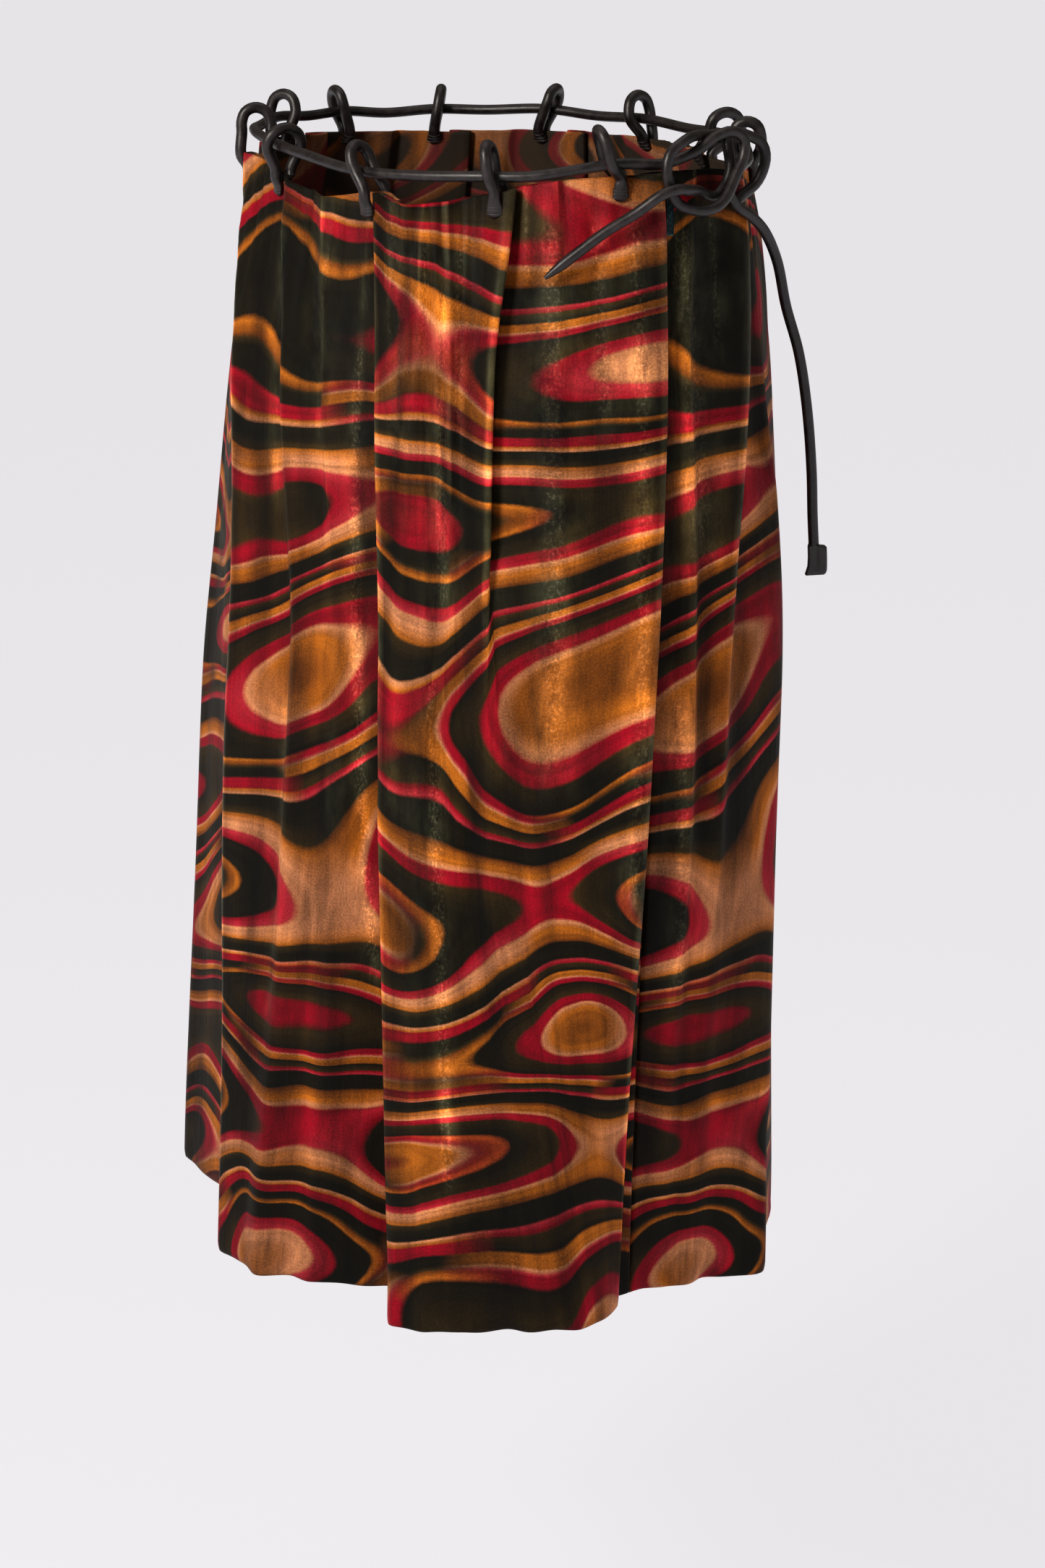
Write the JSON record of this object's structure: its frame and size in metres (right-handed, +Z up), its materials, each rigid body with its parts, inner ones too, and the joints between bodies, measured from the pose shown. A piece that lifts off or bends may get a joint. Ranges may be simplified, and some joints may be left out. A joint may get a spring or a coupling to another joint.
{
  "type": "velvet midi skirt with leather cord belt",
  "caption": "Hip-slung velvet midi skirt in soft unpressed folds, hollow as worn, with stand-up leather cord loops and a round leather cord belt tied in a bow at the left front.",
  "frame": {"origin": "middle of the waist edge's level on the skirt's upright centre line, where the wearer's hips hold it", "axes": "+Z up, -Y the wearer's front, +X the wearer's left"},
  "size_m": [0.4047, 0.3153, 0.6845],
  "materials": {
    "velvet": "printed velvet pile, lustrous",
    "leather": "satin, rolled round",
    "zip_metal": "dark teal enamel"
  },
  "bodies": {
    "skirt": {"front_panel": "velvet", "back_panel": "velvet", "belt_loop_01": "leather", "belt_loop_02": "leather", "belt_loop_03": "leather", "belt_loop_04": "leather", "belt_loop_05": "leather", "belt_loop_06": "leather", "belt_loop_07": "leather", "belt_loop_08": "leather", "belt_loop_09": "leather", "belt_loop_10": "leather", "belt_loop_11": "leather", "belt_loop_12": "leather", "belt": "leather", "bow": "leather", "tail_short": "leather", "tail_long": "leather", "tail_tip": "leather", "zip_slider": "zip_metal"},
    "zip_pull": {"zip_pull": "zip_metal"}
  },
  "joints": [
    {"name": "zip_pull", "type": "hinge", "parent": "skirt", "child": "zip_pull", "pos_m": [0.15906, -0.02448, 0.00407], "axis": [-0.5001, -0.8645, 0.0504], "range_deg": [0, 30]}
  ]
}
